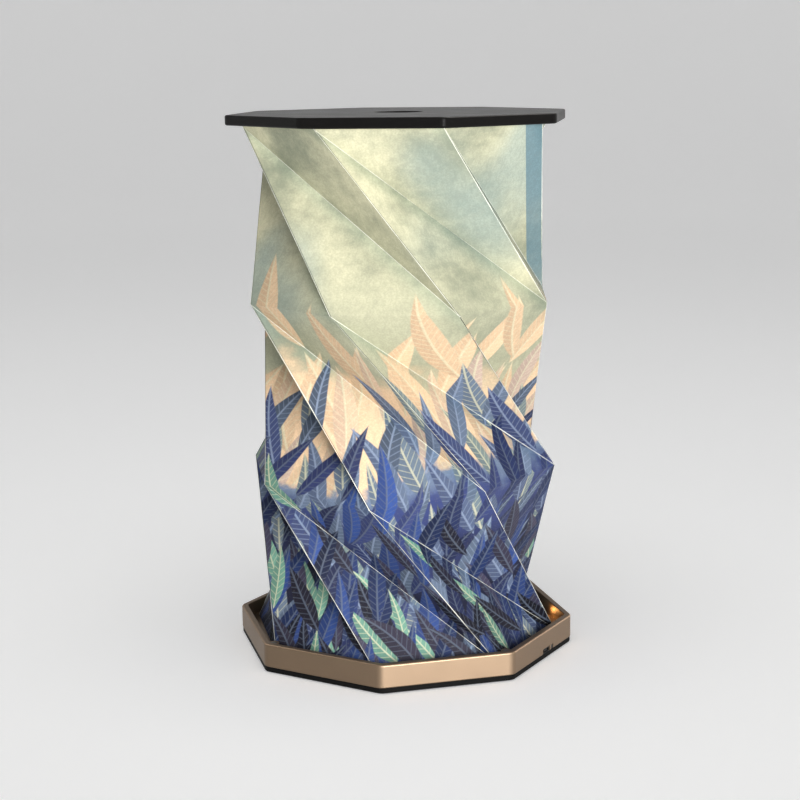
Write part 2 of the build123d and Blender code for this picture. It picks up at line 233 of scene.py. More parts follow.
class LampShadeSettings(bpy.types.PropertyGroup):
    """Sizes and print colours of the folded paper shade."""

    corner_radius: length("Corner radius", "From the lamp's axis to the corners of a fold ring", 0.08102)
    bottom: length("Bottom", "Height of the lowest fold ring above the table", 0.0082)
    storey_height: length("Storey height", "From one fold ring to the next", 0.08899)
    storey_twist: angle("Storey twist", "How far each ring is turned against the one below", 52.9)
    paper: length("Paper", "Thickness of the paper", 0.0003)
    crease_round: length("Crease round", "Width of the rounded edge along a crease", 0.0005)
    panel_bow: length("Panel bow", "How far a panel bows between its creases", 0.0007)
    base_ring_turn: angle("Base ring turn", "How far the lowest ring is turned against the tray", -2.6)
    first_ring_slack: angle("First ring slack", "Extra turn of the first free ring as the paper relaxes", 2.2)
    second_ring_slack: angle("Second ring slack", "Extra turn of the second free ring as the paper relaxes",
                             -1.5)
    top_ring_turn: angle("Top ring turn", "How far the top ring is turned against the lid", 1.6)
    uneven_turn: angle("Uneven turn", "Extra turn, to and fro, of the first free ring's corners", 1.8)
    front_corner_droop: length("Front corner droop", "How far the front corner of the first ring hangs",
                               0.0084)
    back_rise: length("Back rise", "How far the rest of the first ring stands up", 0.0010)
    folded_share: kept_share("Folded share", "Height left of a storey when it is folded", 0.025)
    top_folded_share: kept_share("Top folded share",
                                 "Height left of the top storey, which folds under the clamp frame", 0.019)
    sage: colour("Sage", "Dark part of the wash at the top", (0.205, 0.225, 0.165))
    cream: colour("Cream", "Light part of the wash at the top", (0.55, 0.535, 0.375))
    teal: colour("Teal", "Cool part of the wash at the top", (0.245, 0.315, 0.30))
    peach: colour("Peach", "Warm wash and leaves in the middle", (0.66, 0.475, 0.31))
    mint: colour("Mint", "Accent leaves", (0.19, 0.40, 0.31))
    slate: colour("Slate", "Grey-blue leaves", (0.13, 0.175, 0.26))
    indigo: colour("Indigo", "Deep blue leaves", (0.036, 0.05, 0.15))
    violet: colour("Violet", "Violet-grey leaves", (0.078, 0.07, 0.125))
    blue: colour("Blue", "Bright blue leaves", (0.030, 0.066, 0.235))
    navy: colour("Navy", "Darkest leaves", (0.009, 0.010, 0.024))
    vein: colour("Vein", "Fine veins of the leaves", (0.24, 0.30, 0.42))


class LampFinishSettings(bpy.types.PropertyGroup):
    """Colours of the solid pieces."""

    aluminium: colour("Aluminium", "Champagne anodised tray", (0.200, 0.145, 0.099))
    lid: colour("Lid", "Satin black lid", (0.010, 0.0092, 0.0088))
    plastic: colour("Black plastic", "Base plate and button", (0.004, 0.004, 0.004))
    rubber: colour("Rubber", "Feet", (0.022, 0.022, 0.022))
    steel: colour("Steel", "Screws and charging socket", (0.52, 0.52, 0.53))
    nickel: colour("Nickel", "Magnets", (0.20, 0.185, 0.165))
    board_white: colour("White board", "Board under the diffuser", (0.82, 0.82, 0.80))
    board_green: colour("Green board", "Control board", (0.02, 0.14, 0.06))
    phosphor: colour("Phosphor", "Light source", (0.95, 0.72, 0.22))
    acrylic: colour("Acrylic", "Frosted light diffuser", (0.92, 0.88, 0.80))
    foil: colour("Foil", "Battery pouch", (0.62, 0.62, 0.65))
    insulation: colour("Insulation", "Leads", (0.35, 0.02, 0.02))
    frame_grey: colour("Frame grey", "Clamp frames of the shade", (0.09, 0.09, 0.095))
    reflector: colour("Reflector", "White plate under the lid", (0.86, 0.86, 0.84))


class LampStageSettings(bpy.types.PropertyGroup):
    """Floor, lights and camera."""

    floor: colour("Floor", "Plain pale floor and backdrop", (0.94, 0.94, 0.94))
    floor_radius: length("Floor radius", "From the lamp to the wall all round", 4.0)
    wall_height: length("Wall height", "Height of the wall all round", 2.4)
    floor_glow: FloatProperty(name="Floor glow", description="Even light of the floor and the wall",
                              default=0.27)
    camera_angle: angle("Camera angle", "Camera's turn from the front towards the right", 30.18)
    camera_distance: length("Camera distance", "From the lamp's axis along the floor", 0.9038)
    camera_height: length("Camera height", "Above the table", 0.3078)
    camera_pitch: angle("Camera pitch", "How far the camera looks down", 11.104)
    camera_roll: angle("Camera roll", "Roll about the line of sight", -0.667)
    camera_lens: FloatProperty(name="Lens", description="Focal length on a 36 mm sensor", default=78.44,
                               unit="CAMERA")
    camera_shift: FloatProperty(name="Shift", description="Sideways shift of the frame", default=-0.0024)
    key_power: watts("Key light", "Soft light beside the camera", 29.5)
    top_power: watts("Top light", "Soft light overhead", 5.0)
    floor_power: watts("Floor light", "Overhead light on the floor alone", 8.5)
    back_power: watts("Back light", "Weak light from behind on the left", 14.0)
    lid_power: watts("Lid light", "Light on the lid alone, from behind", 20.0)
    strip_power: watts("Strip light", "Low light on the metal tray", 5.5)
    rim_power: watts("Rim light", "High light on the rim of the tray", 4.0)
    edge_power: watts("Edge light", "Glint on the lid's front corner", 3.0)
    leak_power: watts("Leak light", "Warm light that leaks out under the shade", 0.002)
    sky: FloatProperty(name="Ambient", description="Even light from all round", default=0.07, min=0.0)


class Finish:
    """Builds one node material."""

    def __init__(self, name):
        self.material = bpy.data.materials.new(name)
        self.material.use_nodes = True
        self.tree = self.material.node_tree
        self.tree.nodes.clear()
        output = self.add("ShaderNodeOutputMaterial")
        self.shader = self.add("ShaderNodeBsdfPrincipled")
        self.tree.links.new(self.shader.outputs["BSDF"], output.inputs["Surface"])

    def add(self, kind, **settings):
        """Adds a node with the given settings."""
        node = self.tree.nodes.new(kind)
        for key, value in settings.items():
            setattr(node, key, value)
        return node

    def feed(self, socket, value):
        """Links another node's output to a socket, or sets a number or a colour there."""
        if isinstance(value, bpy.types.NodeSocket):
            self.tree.links.new(value, socket)
        elif socket.type == "RGBA" and len(value) == 3:
            socket.default_value = (*value, 1.0)
        else:
            socket.default_value = value

    def set(self, **inputs):
        """Sets or links the shader's sockets; a name's underscores stand for spaces."""
        for key, value in inputs.items():
            self.feed(self.shader.inputs[key.replace("_", " ")], value)

    def sum(self, operation, *values):
        """Does one operation of arithmetic on the values."""
        node = self.add("ShaderNodeMath", operation=operation)
        for socket, value in zip(node.inputs, values):
            self.feed(socket, value)
        return node.outputs["Value"]

    def weigh(self, first, second, share):
        """Adds two values, the first with the given share and the second with the rest."""
        return self.sum("ADD", self.sum("MULTIPLY", first, share), self.sum("MULTIPLY", second, 1 - share))

    def mix(self, share, first, second, blend="MIX"):
        """Lays the second colour over the first by the given share."""
        node = self.add("ShaderNodeMix", data_type="RGBA", blend_type=blend)
        for name, value in (("Factor_Float", share), ("A_Color", first), ("B_Color", second)):
            self.feed(next(s for s in node.inputs if s.identifier == name), value)
        return next(s for s in node.outputs if s.identifier == "Result_Color")

    def span(self, value, low, high, to_low=0.0, to_high=1.0, smooth=False):
        """Brings a value from one range to another, and keeps it there."""
        node = self.add("ShaderNodeMapRange", clamp=True,
                        interpolation_type="SMOOTHSTEP" if smooth else "LINEAR")
        for name, number in (("Value", value), ("From Min", low), ("From Max", high), ("To Min", to_low),
                             ("To Max", to_high)):
            self.feed(node.inputs[name], number)
        return node.outputs["Result"]

    def noise(self, place, size, detail=2.0, roughness=0.5):
        """Cloudy noise with lumps of about the given size in metres."""
        node = self.add("ShaderNodeTexNoise")
        for name, value in (("Vector", place), ("Scale", 1.0 / size), ("Detail", detail),
                            ("Roughness", roughness)):
            self.feed(node.inputs[name], value)
        return node.outputs["Fac"]

    def place(self, scale=(1.0, 1.0, 1.0)):
        """The point on the piece, in metres, stretched if a scale is given."""
        spot = self.add("ShaderNodeTexCoord").outputs["Object"]
        if tuple(scale) == (1.0, 1.0, 1.0):
            return spot
        mapping = self.add("ShaderNodeMapping")
        self.feed(mapping.inputs["Vector"], spot)
        self.feed(mapping.inputs["Scale"], scale)
        return mapping.outputs["Vector"]

    def bump(self, height, depth):
        """Gives the surface a fine relief of the given depth in metres."""
        node = self.add("ShaderNodeBump")
        self.feed(node.inputs["Height"], height)
        self.feed(node.inputs["Distance"], depth)
        self.set(Normal=node.outputs["Normal"])


def shaded(tone, share):
    """The tone, darker or lighter by a share."""
    return tuple(min(1.0, c * share) for c in tone)


def grained(name, tone, grain, rough, metal=0.0, relief=0.00002, spread=0.12, specular=0.5):
    """A solid finish: cloudy tone, grain in the gloss and a fine relief, all on the piece's own points."""
    finish = Finish(name)
    spot = finish.place()
    fine = finish.noise(spot, grain, 3.0, 0.6)
    cloud = finish.noise(spot, grain * CLOUD_SIZE, 3.0, 0.55)
    patchy = finish.mix(cloud, shaded(tone, 1 - spread), shaded(tone, 1 + spread))
    specks = finish.span(fine, *SPECK_RANGE, 0.0, spread)
    finish.set(Base_Color=finish.mix(specks, patchy, shaded(tone, SPECK_TONE)))
    finish.set(Roughness=finish.span(finish.weigh(fine, cloud, FINE_SHARE), *GLOSS_RANGE, *rough))
    finish.set(Metallic=metal, Specular_IOR_Level=specular)
    finish.bump(fine, relief)
    return finish


def brushed(name, tone, rough, stretch):
    """A turned or brushed metal: fine streaks along one axis."""
    finish = Finish(name)
    streak = finish.noise(finish.place(stretch), STREAK, 4.0, 0.65)
    dark, light = (shaded(tone, share) for share in STREAK_TONES)
    finish.set(Base_Color=finish.mix(streak, dark, light))
    finish.set(Roughness=finish.span(streak, *GLOSS_RANGE, *rough), Metallic=1.0)
    finish.bump(streak, STREAK_RELIEF)
    return finish


def dress(finish, *nodes):
    """Gives a finish to some of the lamp's solid pieces."""
    for node in nodes:
        slots = NODES[node].data.materials
        slots.clear()
        slots.append(finish.material)


def only(piece):
    """Deselects all else and makes the piece active."""
    bpy.ops.object.select_all(action="DESELECT")
    piece.select_set(True)
    bpy.context.view_layer.objects.active = piece


def pick(piece, vertices=None, edges=None, faces=None):
    """Selects parts of the piece's mesh by a test, and leaves it in edit mode."""
    bpy.ops.object.mode_set(mode="EDIT")
    kind = "VERT" if vertices else "EDGE" if edges else "FACE"
    bpy.ops.mesh.select_mode(type=kind)
    bpy.ops.mesh.select_all(action="DESELECT")
    bpy.ops.object.mode_set(mode="OBJECT")
    parts, test = ((piece.data.vertices, vertices) if vertices else (piece.data.edges, edges) if edges
                   else (piece.data.polygons, faces))
    for part in parts:
        part.select = bool(test(part))
    bpy.ops.object.mode_set(mode="EDIT")


def turn_about_axis(amount, z):
    """Turns what is selected about the lamp's axis, anticlockwise from above."""
    # Without a window the operator turns the other way
    bpy.ops.transform.rotate(value=-amount, orient_axis="Z", center_override=(0.0, 0.0, z))


class Sheet:
    """The shade's flat sheet before it is folded: panel width, rise and shift of one storey."""

    def __init__(self, shade):
        self.width = 2 * shade.corner_radius * sin(STEP / 2)
        mountain = self.crease(shade, shade.storey_twist)
        valley = self.crease(shade, shade.storey_twist + STEP)
        self.shift = (mountain ** 2 - valley ** 2 + self.width ** 2) / (2 * self.width)
        self.rise = sqrt(mountain ** 2 - self.shift ** 2)
        self.round = SIDES * self.width
        self.height = len(STOREYS) * self.rise

    @staticmethod
    def crease(shade, turn):
        """Length of a crease whose upper end is turned that far against its lower end."""
        return sqrt((2 * shade.corner_radius * sin(turn / 2)) ** 2 + shade.storey_height ** 2)


def ring_turn(shade, ring):
    """How far the first corner of a fold ring is turned, anticlockwise from above."""
    slack = (shade.base_ring_turn, shade.first_ring_slack, shade.second_ring_slack, shade.top_ring_turn)[ring]
    return STEP / 2 - ring * shade.storey_twist + slack


def ring_corner(shade, ring, corner):
    """A corner of a fold ring; the first free ring is uneven and hangs at the front."""
    turn = ring_turn(shade, ring) + corner * STEP
    height = shade.bottom + ring * shade.storey_height
    if ring == FREE_RING:
        facing = max(0.0, cos(turn - FREE_RING_FRONT))
        height += shade.back_rise - shade.front_corner_droop * facing ** DROOP_POWER
        turn += shade.uneven_turn if corner % 2 else -shade.uneven_turn
    return Vector((shade.corner_radius * cos(turn), shade.corner_radius * sin(turn), height))


def ring_point(shade, ring, point):
    """The point of a fold ring that lies the same way from the lamp's axis as the given point."""
    nearest = corner_number(shade, ring, point)
    for corner in (nearest, nearest - 1):
        first = ring_corner(shade, ring, corner)
        last = ring_corner(shade, ring, corner + 1)
        before = first.x * point.y - first.y * point.x
        after = point.x * last.y - point.y * last.x
        if before >= 0.0:
            break
    return first.lerp(last, before / (before + after))


def corner_place(shade, ring, point):
    """How many corners of the ring lie between its first one and the point's direction, with the fraction."""
    return (atan2(point.y, point.x) - ring_turn(shade, ring)) / STEP


def corner_number(shade, ring, point):
    """The number of the ring's corner that is nearest to the point."""
    return round(corner_place(shade, ring, point))


def paint_wash(finish, shade):
    """Mottled sage and cream wash with cooler patches; returns the paint and the mottle."""
    large = finish.noise(finish.place(), LARGE_MOTTLE, 2.0, 0.45)
    small = finish.noise(finish.place(SMALL_STRETCH), SMALL_MOTTLE, 4.0, 0.6)
    cool = finish.noise(finish.place(COOL_STRETCH), COOL_PATCH, 1.0)
    mottle = finish.weigh(large, small, MOTTLE_SHARE)
    paint = finish.mix(finish.span(mottle, *MOTTLE_RANGE, smooth=True), shade.sage, shade.cream)
    paint = finish.mix(finish.span(cool, *COOL_RANGE, 0.0, COOL_SHARE, smooth=True), paint, shade.teal)
    return paint, mottle


def lower_wash(finish, paint, height, uneven, level, soft, tone):
    """Lets the paint run into another tone below a level of the sheet."""
    edge = finish.sum("MULTIPLY_ADD", finish.sum("SUBTRACT", uneven, 0.5), WASH_UNEVEN, height)
    return finish.mix(finish.span(edge, level + soft, level - soft, smooth=True), paint, tone)


def leaf_layers(shade):
    """The far and the near layers of leaves."""
    pale = shaded(shade.cream, 1.02)
    vein = shade.vein
    dim = shaded(vein, 0.42)
    # Lean, length, width, height of the topmost leaves, height where they are at their full share, that
    # share, light and dark tone, tone of the veins
    far = (
        (64, 0.058, 0.027, 0.225, 0.190, 1.0, shaded(shade.peach, 1.06), shaded(shade.peach, 0.86), pale),
        (112, 0.060, 0.028, 0.215, 0.185, 1.0, shaded(shade.peach, 1.0), shaded(shade.peach, 0.80), pale),
        (84, 0.050, 0.022, 0.195, 0.165, 0.9, shaded(shade.peach, 0.95), BROWNED, pale),
    )
    near = (
        (108, 0.052, 0.022, 0.185, 0.150, 0.7, shaded(shade.teal, 0.7), shaded(shade.slate, 0.8), pale),
        (68, 0.050, 0.021, 0.175, 0.140, 0.9, shaded(shade.slate, 1.0), shaded(shade.slate, 0.45), vein),
        (118, 0.054, 0.022, 0.160, 0.130, 1.0, shaded(shade.slate, 0.8), shaded(shade.indigo, 0.8), vein),
        (58, 0.046, 0.019, 0.145, 0.115, 1.0, shaded(shade.indigo, 1.1), shaded(shade.indigo, 0.35), dim),
        (80, 0.050, 0.020, 0.125, 0.095, 0.8, shaded(shade.blue, 1.0), shaded(shade.indigo, 0.35), dim),
        (126, 0.040, 0.016, 0.120, 0.085, 0.22, shaded(shade.mint, 0.9), shaded(shade.mint, 0.5), pale),
        (116, 0.044, 0.018, 0.100, 0.070, 0.9, shaded(shade.violet, 0.6), shaded(shade.navy, 0.6), dim),
        (66, 0.042, 0.018, 0.085, 0.055, 0.8, shaded(shade.blue, 0.6), shaded(shade.navy, 0.4), dim),
        (84, 0.046, 0.019, 0.070, 0.040, 0.6, shaded(shade.blue, 0.9), shaded(shade.navy, 0.5), dim),
        (100, 0.036, 0.014, 0.065, 0.030, 0.16, shaded(shade.mint, 0.8), shaded(shade.mint, 0.4), pale),
        (132, 0.044, 0.019, 0.055, 0.020, 0.9, shaded(shade.violet, 0.35), shaded(shade.navy, 0.25), dim),
    )
    return far, near


def print_leaves(finish, paint, along, up, leaf, seed):
    """Prints one layer of leaves over the paint: slanted rows of cells, each with a leaf or nothing in it."""
    lean, long, wide, first, full, share, light, dark, vein = leaf
    level, upright = cos(radians(lean)), sin(radians(lean))
    ahead = finish.sum("MULTIPLY_ADD", along, level, finish.sum("MULTIPLY", up, upright))
    aside = finish.sum("MULTIPLY_ADD", up, level, finish.sum("MULTIPLY", along, -upright))
    rows = finish.sum("DIVIDE", aside, wide)
    row = finish.sum("FLOOR", rows)
    runs = finish.sum("MULTIPLY_ADD", row, ROW_SHIFT, finish.sum("DIVIDE", ahead, long))
    cell = finish.add("ShaderNodeCombineXYZ")
    for axis, value in zip("XYZ", (finish.sum("FLOOR", runs), row, seed)):
        finish.feed(cell.inputs[axis], value)
    dice = finish.add("ShaderNodeTexWhiteNoise", noise_dimensions="3D")
    finish.feed(dice.inputs["Vector"], cell.outputs["Vector"])
    throw = finish.add("ShaderNodeSeparateColor")
    finish.feed(throw.inputs["Color"], dice.outputs["Color"])

    tip = finish.sum("MULTIPLY_ADD", finish.sum("FRACT", runs), 2.0, -1.0)
    side = finish.sum("MULTIPLY_ADD", finish.sum("FRACT", rows), 2.0, -1.0)
    tip_rise = finish.sum("MULTIPLY", tip, long / 2 * upright)
    side_rise = finish.sum("MULTIPLY", side, wide / 2 * level)
    middle = finish.sum("SUBTRACT", up, finish.sum("ADD", tip_rise, side_rise))
    arch = finish.sum("MULTIPLY", tip, tip)
    bend = finish.sum("MULTIPLY", finish.sum("SUBTRACT", throw.outputs["Red"], 0.5), BEND)
    across = finish.sum("MULTIPLY_ADD", bend, finish.sum("SUBTRACT", arch, BEND_CROSS), side)
    half = finish.sum("ABSOLUTE", across)
    girth = finish.sum("MULTIPLY_ADD", throw.outputs["Green"], GIRTH_VARIES, GIRTH)
    blade = finish.sum("MULTIPLY", finish.sum("MULTIPLY", girth, finish.sum("SUBTRACT", 1.0, arch)),
                       finish.sum("MULTIPLY_ADD", tip, -TAPER, 1.0))
    inside = finish.span(finish.sum("SUBTRACT", blade, half), 0.0, LEAF_EDGE)
    grows = finish.sum("LESS_THAN", throw.outputs["Blue"], finish.span(middle, full, first, share, 0.0))

    tone = finish.mix(dice.outputs["Value"], light, dark)
    dark_half = finish.sum("MULTIPLY", finish.sum("GREATER_THAN", across, 0.0), HALF_SHARE)
    tone = finish.mix(dark_half, tone, shaded(dark, HALF_TONE))
    rib = finish.span(half, *RIB, 1.0, 0.0)
    slant = finish.sum("MULTIPLY_ADD", half, -VEIN_SLANT * wide / long, tip)
    comb = finish.sum("PINGPONG", finish.sum("MULTIPLY", slant, long / VEIN_PITCH / 2), 0.5)
    drawn = finish.sum("MAXIMUM", rib, finish.span(comb, *VEIN, VEIN_STRENGTH, 0.0))
    tone = finish.mix(finish.sum("MULTIPLY", drawn, LINE_SHARE), tone, vein)
    return finish.mix(finish.sum("MULTIPLY", inside, grows), paint, tone)


def print_picture(finish, shade, around, up, height):
    """Prints the sheet: washes of broad tones under layers of leaves."""
    paint, uneven = paint_wash(finish, shade)
    paint = finish.mix(finish.span(height, *SAGE_FADE, 0.0, SAGE_SHARE, smooth=True), paint, shade.sage)
    paint = lower_wash(finish, paint, height, uneven, PEACH_LEVEL, PEACH_SOFT, shade.peach)
    far, near = leaf_layers(shade)
    for number, leaf in enumerate(far):
        paint = print_leaves(finish, paint, around, up, leaf, float(number))
    # Level, softness and tone of the washes behind the near leaves
    for level, soft, tone in ((0.375, 0.015, shade.slate), (0.33, 0.03, shade.indigo),
                              (0.21, 0.09, shade.navy)):
        paint = lower_wash(finish, paint, height, uneven, level, soft, tone)
    for number, leaf in enumerate(near):
        paint = print_leaves(finish, paint, around, up, leaf, NEAR_SEED + number)
    return paint


def tint_seam(finish, paint, run, seam, height):
    """Tints the glued flap beside its crease, more towards the top of the sheet."""
    flap = finish.span(run, seam + SEAM_WIDTH * SEAM_EDGE, seam + SEAM_WIDTH, 1.0, 0.0)
    shown = finish.sum("MULTIPLY", flap, finish.span(height, *SEAM_RISE, *SEAM_SHARE))
    return finish.mix(shown, paint, SEAM_TONE)


def paint_valley_shade(finish, paint, along, up, valley, sheet):
    """Paints a soft, slightly teal shade on one side of each valley crease, where the panel curves into it.
    """
    run = finish.sum("DIVIDE", finish.sum("MULTIPLY_ADD", up, valley, along), sheet.width)
    start = 1.0 - VALLEY_SHADE_WIDTH / sheet.width
    valley_shade = finish.span(finish.sum("FRACT", run), start, 1.0, 0.0, VALLEY_SHADE_SHARE, smooth=True)
    return finish.mix(valley_shade, paint, VALLEY_SHADE_TONE, "MULTIPLY")


def paper_tooth(finish):
    """The paper's grain: fine grit and upright fibres."""
    grit = finish.noise(finish.place(), GRIT, 2.0, 0.7)
    fibre = finish.noise(finish.place(FIBRE_STRETCH), FIBRE, 3.0, 0.6)
    return finish.weigh(grit, fibre, GRIT_SHARE)


def crease_line(finish, along, up, slope, sheet, width, soft):
    """One where a family of parallel creases runs, nothing between them."""
    run = finish.sum("DIVIDE", finish.sum("MULTIPLY_ADD", up, slope, along), sheet.width)
    off = finish.sum("PINGPONG", run, 0.5)
    reach = width * sqrt(1 + slope ** 2) / sheet.width
    return finish.span(off, reach * (1 - soft), reach, 1.0, 0.0)


def wear_creases(finish, paint, along, up, mountain, valley, sheet):
    """Wears pale lines into the creases, and paints a thin shadow beside each mountain crease."""
    scuff = finish.span(finish.noise(finish.place(), SCUFF, 3.0, 0.65), *SCUFF_RANGE, *SCUFF_WEAR)
    # The painted shadow beside a ridge is shifted a little to one side of it
    beside = finish.sum("SUBTRACT", along, MOUNTAIN_LINE * RIDGE_SHADOW_OFF)
    ridge = crease_line(finish, along, up, mountain, sheet, MOUNTAIN_LINE, RIDGE_SOFT)
    ridge_shadow = crease_line(finish, beside, up, mountain, sheet, MOUNTAIN_LINE, RIDGE_SHADOW_SOFT)
    fold = crease_line(finish, along, up, valley, sheet, VALLEY_LINE, FOLD_SOFT)
    worn = finish.sum("MULTIPLY", finish.sum("MULTIPLY", fold, scuff), FOLD_SHARE)
    paint = finish.mix(finish.sum("MULTIPLY", ridge_shadow, RIDGE_SHADOW_SHARE), paint, RIDGE_SHADOW_TONE)
    paint = finish.mix(worn, paint, FOLD_TONE)
    return finish.mix(finish.sum("MULTIPLY", ridge, scuff), paint, RIDGE_TONE)


def printed_paper(shade):
    """Laminated paper with a leaf print, worn along its creases with painted shade beside them, faintly lit
    from inside.
    """
    sheet = Sheet(shade)
    finish = Finish("printed_paper")
    uv = finish.add("ShaderNodeSeparateXYZ")
    finish.feed(uv.inputs["Vector"], finish.add("ShaderNodeUVMap", uv_map="sheet").outputs["UV"])
    along, up = uv.outputs["X"], uv.outputs["Y"]
    mountain = -sheet.shift / sheet.rise
    valley = mountain + sheet.width / sheet.rise
    seam = SEAM_CORNER * sheet.width - SEAM_WIDTH
    run = finish.sum("WRAP", finish.sum("MULTIPLY_ADD", up, mountain, along), seam + sheet.round, seam)
    around = finish.sum("MULTIPLY_ADD", up, -mountain, run)
    height = finish.sum("DIVIDE", up, sheet.height)

    paint = print_picture(finish, shade, around, up, height)
    paint = tint_seam(finish, paint, run, seam, height)
    # Painted shade on one side of each valley crease
    paint = paint_valley_shade(finish, paint, along, up, valley, sheet)
    tooth = paper_tooth(finish)
    paint = finish.mix(finish.span(tooth, *PIT_RANGE, 0.0, PIT_SHARE), paint, PIT_TONE)
    paint = finish.mix(finish.span(tooth, *FIBRE_RANGE, 0.0, FIBRE_SHARE), paint, FIBRE_TONE)
    paint = wear_creases(finish, paint, along, up, mountain, valley, sheet)

    finish.set(Base_Color=paint, Emission_Color=finish.mix(1.0, paint, GLOW_TONE, "MULTIPLY"))
    finish.set(Emission_Strength=GLOW, Specular_IOR_Level=PAPER_SPECULAR)
    finish.set(Roughness=finish.span(tooth, *TOOTH_RANGE, *PAPER_ROUGH))
    finish.bump(tooth, TOOTH_RELIEF)
    return finish


class LAMP_OT_shade(bpy.types.Operator):
    """Folds the three storeys of the paper shade"""

    bl_idname = "lamp.shade"
    bl_label = "Fold the shade"

    def execute(self, context):
        shade = context.scene.lamp_shade
        paper = printed_paper(shade)
        for level, (name, body, joint) in enumerate(STOREYS):
            storey = self.fold(shade, level, name + "_shade")
            storey.data.materials.append(paper.material)
            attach(storey, body)
            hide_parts(name + "_rising_panels", name + "_hanging_panels")
            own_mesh(storey)
        return {"FINISHED"}

    def fold(self, shade, level, name):
        """One storey: an open eight-sided tube, its upper ring turned, creased along the long diagonals."""
        low = shade.bottom + level * shade.storey_height
        high = low + shade.storey_height
        middle = (low + high) / 2
        bpy.ops.object.select_all(action="DESELECT")
        bpy.ops.mesh.primitive_cylinder_add(vertices=SIDES, radius=shade.corner_radius, depth=high - low,
                                            end_fill_type="NOTHING", location=(0, 0, middle))
        bpy.ops.object.transform_apply(location=True, rotation=True, scale=True)
        storey = named_piece(name)
        for ring, z in ((level, low), (level + 1, high)):
            upper = ring > level
            pick(storey, vertices=lambda v: (v.co.z > middle) == upper)
            turn_about_axis(ring_turn(shade, ring), z)
            bpy.ops.object.mode_set(mode="OBJECT")
        self.test_turn(storey, shade, level)
        for vertex in storey.data.vertices:
            ring = level + int(vertex.co.z > middle)
            vertex.co = ring_corner(shade, ring, corner_number(shade, ring, vertex.co))
        pick(storey, faces=lambda f: True)
        bpy.ops.mesh.quads_convert_to_tris(quad_method="LONGEST_DIAGONAL")
        bpy.ops.object.mode_set(mode="OBJECT")
        self.lay_out(storey, shade, level, middle)
        pick(storey, edges=lambda e: self.is_crease(storey, e, middle))
        bpy.ops.mesh.bevel(offset=shade.crease_round, segments=CREASE_STRIPS, affect="EDGES",
                           clamp_overlap=True)
        bpy.ops.object.mode_set(mode="OBJECT")
        pick(storey, faces=lambda f: f.area > PANEL_AREA)
        bpy.ops.mesh.subdivide(number_cuts=PANEL_CUTS)
        bpy.ops.object.mode_set(mode="OBJECT")
        self.bow(storey, shade, level)
        self.mark_rims(storey)
        self.mitre(storey, shade, level, middle, 0.0)
        only(storey)
        wall = storey.modifiers.new("paper", "SOLIDIFY")
        wall.thickness, wall.offset = shade.paper, 0.0
        bpy.ops.object.modifier_apply(modifier=wall.name)
        self.mitre(storey, shade, level, middle, shade.paper / 2 * Sheet(shade).rise / shade.storey_height)
        storey.vertex_groups.clear()
        bpy.ops.object.shade_smooth_by_angle(angle=SMOOTH_ANGLE)
        return storey

    @staticmethod
    def mark_rims(storey):
        """Groups the points of the open edges, to find them again once the sheet has its thickness."""
        uses = {}
        for face in storey.data.polygons:
            for key in face.edge_keys:
                uses[key] = uses.get(key, 0) + 1
        rims = {point for key, count in uses.items() if count == 1 for point in key}
        storey.vertex_groups.new(name="rims").add(list(rims), 1.0, "REPLACE")

    @staticmethod
    def mitre(storey, shade, level, middle, reach):
        """Puts the rims on their fold rings, so that the next storey meets them without a groove."""
        for vertex in storey.data.vertices:
            if vertex.groups:
                point = ring_point(shade, level + int(vertex.co.z > middle), vertex.co)
                outward = Vector((point.x, point.y, 0.0)).normalized()
                side = 1.0 if (vertex.co - point).dot(outward) > 0.0 else -1.0
                vertex.co = point + outward * side * reach

    @staticmethod
    def test_turn(storey, shade, level):
        """Stops the script if the operator has not turned the rings as planned."""
        middle = shade.bottom + (level + 0.5) * shade.storey_height
        for vertex in storey.data.vertices:
            place = corner_place(shade, level + int(vertex.co.z > middle), vertex.co)
            if abs(place - round(place)) > TURN_SLIP:
                raise RuntimeError("a fold ring is not turned as planned")

    @staticmethod
    def is_crease(storey, edge, middle):
        """Whether an edge runs from one ring to the other."""
        ends = [storey.data.vertices[i].co.z > middle for i in edge.vertices]
        return ends[0] != ends[1]

    @staticmethod
    def lay_out(storey, shade, level, middle):
        """Gives every panel its place on the flat sheet, in metres."""
        sheet = Sheet(shade)
        plan = storey.data.uv_layers.new(name="sheet")
        storey.data.uv_layers.active = plan
        for face in storey.data.polygons:
            spots = []
            for loop in face.loop_indices:
                point = storey.data.vertices[storey.data.loops[loop].vertex_index].co
                ring = level + int(point.z > middle)
                spots.append([loop, ring, corner_number(shade, ring, point) % SIDES])
            for spot in spots:
                if max(s[2] for s in spots) - spot[2] > SIDES / 2:
                    spot[2] += SIDES
            for loop, ring, corner in spots:
                plan.data[loop].uv = (corner * sheet.width + ring * sheet.shift, ring * sheet.rise)

    @staticmethod
    def bow(storey, shade, level):
        """Bows the panels a little and unevenly; the creases stay straight."""
        cloud = bpy.data.textures.new("panel_bow", "CLOUDS")
        cloud.noise_scale, cloud.noise_depth = BOW_LUMP, 0
        inner = storey.vertex_groups.new(name="panels")
        held = set()
        for face in storey.data.polygons:
            if face.area < CREASE_AREA:
                held.update(face.vertices)
        held.update(v.index for v in storey.data.vertices if near_ring(shade, level, v.co.z))
        inner.add([v.index for v in storey.data.vertices if v.index not in held], 1.0, "REPLACE")
        only(storey)
        push = storey.modifiers.new("bow", "DISPLACE")
        push.texture, push.texture_coords = cloud, "LOCAL"
        push.strength, push.mid_level, push.vertex_group = shade.panel_bow, 0.5, inner.name
        bpy.ops.object.modifier_apply(modifier=push.name)
        storey.vertex_groups.clear()


def near_ring(shade, level, z):
    """Whether a height is close to one of the storey's rings."""
    rings = (shade.bottom + ring * shade.storey_height for ring in (level, level + 1))
    return min(abs(z - ring) for ring in rings) < RING_REACH


def named_piece(name):
    """Names the piece that was just added."""
    piece = bpy.context.active_object
    piece.name = piece.data.name = name
    return piece


